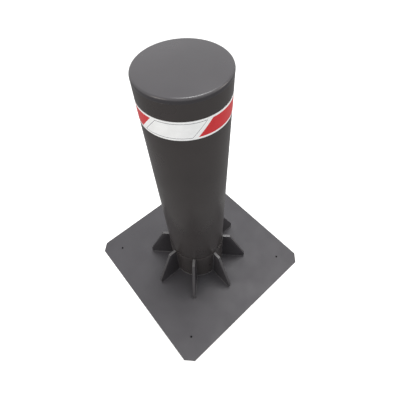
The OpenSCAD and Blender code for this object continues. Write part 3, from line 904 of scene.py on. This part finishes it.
# %% Welds of the plate, collar and gussets
def gusset_paths():
    paths = []
    half = GUSSET_T / 2
    inner, outer = COLLAR_OUT, GUSSET_BOX[1].x
    side_deg = math.degrees(half / inner)
    for k in range(GUSSETS):
        at_deg = GUSSET_STEP * k
        turn = Matrix.Rotation(math.radians(at_deg), 3, "Z")
        for side in (-1, 1):
            flat = [(inner, side * half, PLATE_TOP), (outer - 3 * MM, side * half, PLATE_TOP)]
            upright = [(inner, side * half, PLATE_TOP), (inner, side * half, MOUTH - TAPER)]
            paths += [[turn @ Vector(p) for p in flat], [turn @ Vector(p) for p in upright]]
        paths.append([turn @ Vector((outer, -half, PLATE_TOP)), turn @ Vector((outer, half, PLATE_TOP))])
        paths.append(level_arc(inner, PLATE_TOP, at_deg + side_deg, at_deg + GUSSET_STEP - side_deg, 12))
    return paths


fit_out(weld("gusset_welds", gusset_paths(), 2.0 * MM, BEAD_PAINT), "ground_frame", "anthracite_paint")

# %% [markdown]
# ## The pit casing
# Everything under the plate is welded from thick plate and hot-dip galvanised. The casing, its head flange,
# its floor and its two outlets keep the design's shapes with deburred edges, and weld beads run along the
# casing's seam, round its head and floor, and round each outlet where it leaves the curved wall.

# %% Casing parts
_, CASING_OUT, CASING_LOW, CASING_HIGH = ring_of("pit_casing")
FLOOR_OUT = ring_of("casing_floor")[1]

for piece_name, node, width in (("casing_head", "head_flange", 1.0), ("casing_wall", "pit_casing", 0.5),
                                ("drain_pipe", "drain_spigot", 0.5), ("conduit_pipe", "conduit_stub", 0.5),
                                ("deck_brackets", "deck_lugs", 0.8)):
    fit_out(softened(piece_name, node, GALVANISED, width * MM), "ground_frame", "galvanised_steel", node)

floor_corners = [
    (0, GROUND, 0), (FLOOR_OUT, GROUND, 1 * MM), (FLOOR_OUT, CASING_LOW, 1 * MM), (0, CASING_LOW, 0)]
fit_out(turned("casing_base", floor_corners, GALVANISED, closed=False), "ground_frame", "galvanised_steel",
        "casing_floor")

# %% Casing welds
BEAD = 2.6 * MM
SEAM_DEG = 20.0
OUTLET_STEPS = 48


def outlet_path(node, axis_deg):
    """Where an outlet pipe meets the casing's curved outside."""
    low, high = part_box(node)
    pipe_r, middle = (high.z - low.z) / 2, (high.z + low.z) / 2
    turn = Matrix.Rotation(math.radians(axis_deg), 3, "Z")
    path = []
    for k in range(OUTLET_STEPS + 1):
        angle = math.tau * k / OUTLET_STEPS
        side, rise = pipe_r * math.cos(angle), pipe_r * math.sin(angle)
        path.append(turn @ Vector((math.sqrt(CASING_OUT ** 2 - side ** 2), side, middle + rise)))
    path[-1] = path[0]
    return path


seam = math.radians(SEAM_DEG)
seam_line = [polar(CASING_OUT, seam, z) for z in (CASING_LOW + BEAD, CASING_HIGH - BEAD)]
casing_paths = [seam_line, level_arc(CASING_OUT, CASING_HIGH, 0, 360, 96),
                level_arc(CASING_OUT, CASING_LOW, 0, 360, 96),
                outlet_path("drain_spigot", 90), outlet_path("conduit_stub", 180)]
fit_out(weld("casing_welds", casing_paths, BEAD, GALVANISED, 4.5 * MM, 1.3 * MM),
        "ground_frame", "galvanised_steel")

# %% [markdown]
# ## Guides, seal and stops
# The post slides in a bush of pale polymer, under a rubber wiper with two lips. It stops upwards against a
# rubber ring and downwards on four rubber buffers. The bush and the steel rings keep the design's shapes
# with deburred edges; the rubber parts are moulded, so their profiles get soft corners and lips.

# %% Guide bush, retainer, key and the post's foot
for piece_name, node, material, slot, body in (
        ("guide_bush", "upper_guide", POLYMER, "guide_polymer", "ground_frame"),
        ("retainer_ring", "guide_retainer", MACHINED, "machined_steel", "ground_frame"),
        ("anti_turn_key", "guide_key", MACHINED, "machined_steel", "ground_frame"),
        ("deck_plate", "drive_deck", MACHINED, "machined_steel", "ground_frame"),
        ("flange_on_post", "stop_flange", MACHINED, "machined_steel", "post"),
        ("sliding_ring", "wear_ring", POLYMER, "guide_polymer", "post"),
        ("foot_plate", "post_foot", MACHINED, "machined_steel", "post"),
        ("bronze_nut", "lift_nut", BRONZE, "nut_bronze", "post")):
    fit_out(softened(piece_name, node, material, 0.5 * MM), body, slot, node)

# %% Wiper, stop ring, cap seal and buffers
inner, outer, low, high = ring_of("wiper_seal")
waist = inner + 2.5 * MM
wiper_corners = [
    (inner + 1 * MM, low, 0.5 * MM), (outer, low, 0.6 * MM), (outer, high, 0.6 * MM),
    (inner + 1 * MM, high, 0.4 * MM), (inner, high - 0.6 * MM, 0.2 * MM),
    (waist, (low + high) / 2, 1 * MM), (inner, low + 1.6 * MM, 0.2 * MM)]
fit_out(turned("wiper_lips", wiper_corners, RUBBER), "ground_frame", "black_rubber", "wiper_seal")

fit_out(turned("stop_cushion", ring_corners(*ring_of("stop_pad"), 2 * MM), RUBBER),
        "ground_frame", "black_rubber", "stop_pad")

inner, outer, low, high = ring_of("cap_seal")
fit_out(turned("cap_o_ring", ring_corners(inner, outer, low, high, 0.49 * (high - low)), RUBBER, arc=6),
        "post", "black_rubber", "cap_seal")

BUFFER_R = 14 * MM


def buffer_pattern():
    low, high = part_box("buffers")[0].z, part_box("buffers")[1].z
    full = BUFFER_R
    step = (high - low) / 3
    corners = [(0, low, 0), (full, low, 0.8 * MM), (full, low + step, 2 * MM),
               (full - 3 * MM, low + 1.5 * step, 3 * MM), (full, low + 2 * step, 2 * MM),
               (full - 1 * MM, high, 3 * MM), (0, high, 0)]
    return turned("buffer_pattern", corners, RUBBER, closed=False, steps=40)


inner, outer, low, high = ring_of("buffers")
fit_out(ring_of_copies("buffer_feet", buffer_pattern(), RUBBER, 4, (inner + outer) / 2, 45.0),
        "ground_frame", "black_rubber", "buffers")

# %% [markdown]
# ## Screws
# All screws are zinc-plated socket screws: a head with a rolled rim and a hexagonal socket, and a shank
# with a thread at its end. One pattern is built ring by ring with 24 points in each ring; where the ring is
# part of the hexagon, the same 24 points lie on its sides instead of on a circle. Geometry Nodes set the
# pattern in its circle.

# %% One socket screw
HEX_HALF = 3 * MM
RIM = 24


def screw_pattern(shank_r, head_r, head_h, length, head_top, way):
    """A screw along Z from its head's outer face, with way 1 up or -1 down."""
    thread_from = length * 0.45
    pitch = 1.25 * MM
    rings = [(0, -head_h * 0.5, False), (HEX_HALF, -head_h * 0.5, True), (HEX_HALF, -head_h, True),
             (head_r - 0.7 * MM, -head_h, False), (head_r, -head_h + 0.7 * MM, False),
             (head_r, -0.4 * MM, False), (head_r - 0.4 * MM, 0, False), (shank_r, 0, False),
             (shank_r, thread_from, False)]
    turns = int((length - thread_from - 1 * MM) / pitch)
    for k in range(turns):
        z = thread_from + (k + 0.5) * pitch
        rings += [(shank_r - 0.5 * MM, z, False), (shank_r, z + pitch / 2, False)]
    rings += [(shank_r - 0.8 * MM, length, False), (0, length, False)]
    sixth = math.pi / 3
    slants = [math.cos((math.tau * k / RIM + sixth / 2) % sixth - sixth / 2) for k in range(RIM)]
    bm = bmesh.new()
    stack(bm, [[(radius / (slant if is_hex else 1), head_top + way * (z + head_h)) for slant in slants]
               for radius, z, is_hex in rings])
    return from_bmesh("screw_pattern", bm, ZINC, 30)


# %% All the screw circles
for node, body, shank_r, head_r, head_h, count, start, way in (
        ("guide_screws", "ground_frame", 4, 6.5, 8, 6, 30, 1), ("foot_screws", "post", 4, 6.5, 8, 6, 0, 1),
        ("nut_screws", "post", 3, 5, 6, 4, 45, 1), ("housing_screws", "ground_frame", 3, 5, 6, 4, 0, -1),
        ("drive_screws", "ground_frame", 3, 5, 6, 4, 45, 1)):
    inner, outer, low, high = ring_of(node)
    pattern = screw_pattern(shank_r * MM, head_r * MM, head_h * MM, high - low - head_h * MM,
                            low if way > 0 else high, way)
    fit_out(ring_of_copies(node + "_set", pattern, ZINC, count, (inner + outer) / 2, start, 30),
            body, "zinc_fasteners", node)

# %% [markdown]
# ## Lifting screw
# A fast lifting screw has a coarse thread with several starts. Its surface is a grid round the axis whose
# radius depends on how far round and how far up a point is: the same trapezium-shaped groove, four times
# round.

# %% Thread
LEAD = 40 * MM
STARTS = 4
THREAD_DEPTH = 2.3 * MM
SCREW_FACETS = 48


def thread_radius(full, angle, z, low, high):
    """Radius of the screw at an angle and height: crest, flank, root, flank, and a run-out at both ends."""
    phase = (STARTS * (z / LEAD - angle / (math.tau))) % 1.0
    groove = min(1.0, max(0.0, (0.5 - abs(phase - 0.5) - 0.12) / 0.13))
    fade = min(1.0, (z - low) / (6 * MM), (high - z) / (3 * MM))
    return full - THREAD_DEPTH * groove * max(0.0, fade)


def threaded_screw():
    _, full, low, high = ring_of("lift_screw")
    journal = 10 * MM
    shoulder = min(v.co.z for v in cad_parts["lift_screw"].data.vertices
                   if math.hypot(v.co.x, v.co.y) > full - 1 * MM)
    bm = bmesh.new()
    plain = [(0, low), (journal - 1 * MM, low), (journal, low + 1 * MM), (journal, shoulder),
             (full - 0.8 * MM, shoulder), (full, shoulder + 0.8 * MM)]
    count = int((high - shoulder - 2 * MM) / (1 * MM))
    levels = [shoulder + 1 * MM + (high - shoulder - 2 * MM) * k / count for k in range(count + 1)]
    rings = [[(r, z)] * SCREW_FACETS for r, z in plain]
    for z in levels:
        rings.append([(thread_radius(full, math.tau * k / SCREW_FACETS, z, shoulder, high), z)
                      for k in range(SCREW_FACETS)])
    rings += [[(full - 0.8 * MM, high)] * SCREW_FACETS, [(0, high)] * SCREW_FACETS]
    stack(bm, rings)
    return from_bmesh("threaded_spindle", bm, SCREW_STEEL, 40)


fit_out(threaded_screw(), "drive_screw", "screw_steel", "lift_screw")

# %% [markdown]
# ## Drive
# Bearing, coupling, gearbox, motor and brake hang under the deck. The turned parts are profiles with
# chamfers and grooves; the cast ones keep the design's shapes with rounded edges.

# %% Bearing
for piece_name, node, body in (("outer_race", "bearing_outer_race", "ground_frame"),
                               ("inner_race", "bearing_inner_race", "drive_screw")):
    fit_out(turned(piece_name, ring_corners(*ring_of(node), 0.8 * MM), BEARING_STEEL, steps=96),
            body, "bearing_steel", node)

BALL_R = 3.2 * MM
inner, outer, low, high = ring_of("bearing_balls")
ball_middle = (low + high) / 2
arc = [(BALL_R * math.cos(math.radians(a)), ball_middle + BALL_R * math.sin(math.radians(a)), 0)
       for a in range(-90, 91, 15)]
arc[0], arc[-1] = (0, arc[0][1], 0), (0, arc[-1][1], 0)
ball = turned("ball_pattern", arc, BEARING_STEEL, closed=False, steps=24)
fit_out(ring_of_copies("ball_set", ball, BEARING_STEEL, 12, (inner + outer) / 2),
        "ground_frame", "bearing_steel", "bearing_balls")

# %% Coupling, shaft and end washer
inner, outer, low, high = ring_of("shaft_coupling")
middle = (low + high) / 2
groove = 1.2 * MM
coupling_corners = [(inner, low, 0.6 * MM), (outer, low, 1 * MM)]
for level in (low + 0.3 * (middle - low), middle, high - 0.3 * (middle - low)):
    coupling_corners += [(outer, level - groove, 0.2 * MM), (outer - groove, level - groove / 2, 0.2 * MM),
                         (outer - groove, level + groove / 2, 0.2 * MM), (outer, level + groove, 0.2 * MM)]
wide_bore = 10.08 * MM
coupling_corners += [
    (outer, high, 1 * MM), (wide_bore, high, 0.6 * MM), (wide_bore, middle, 0), (inner, middle, 0)]
fit_out(turned("clamp_coupling", coupling_corners, MACHINED, steps=96), "drive_screw", "machined_steel",
        "shaft_coupling")
for piece_name, node, edge in (("gearbox_shaft", "output_shaft", 0.8),
                               ("spindle_washer", "screw_end_washer", 1.0)):
    inner, outer, low, high = ring_of(node)
    corners = [(0, low, 0), (outer, low, edge * MM), (outer, high, edge * MM), (0, high, 0)]
    fit_out(turned(piece_name, corners, MACHINED, closed=False, steps=96),
            "drive_screw", "machined_steel", node)

# %% Castings, motor, gland, sensor and brake
for piece_name, node, material, slot, width in (
        ("bearing_block", "bearing_housing", CAST, "cast_aluminium", 1.0),
        ("bell_casting", "bell_housing", CAST, "cast_aluminium", 1.0),
        ("gearbox_casting", "gearbox", CAST, "cast_aluminium", 1.2),
        ("finned_motor", "motor", MOTOR_PAINT, "motor_paint", 0.4),
        ("cable_gland", "motor_gland", GLAND, "gland_plastic", 0.4),
        ("position_sensor", "limit_sensor", BRASS, "sensor_brass", 0.4)):
    fit_out(softened(piece_name, node, material, width * MM), "ground_frame", slot, node)

inner, outer, low, high = ring_of("motor_brake")
brake_corners = [(0, low, 0), (outer * 0.55, low, 1 * MM), (outer * 0.6, low + 2 * MM, 1 * MM),
                 (outer - 5 * MM, low + 2 * MM, 4 * MM), (outer, low + 8 * MM, 3 * MM),
                 (outer, high, 0.5 * MM), (0, high, 0)]
fit_out(turned("brake_cover", brake_corners, CAST, closed=False, steps=96), "ground_frame", "cast_aluminium",
        "motor_brake")
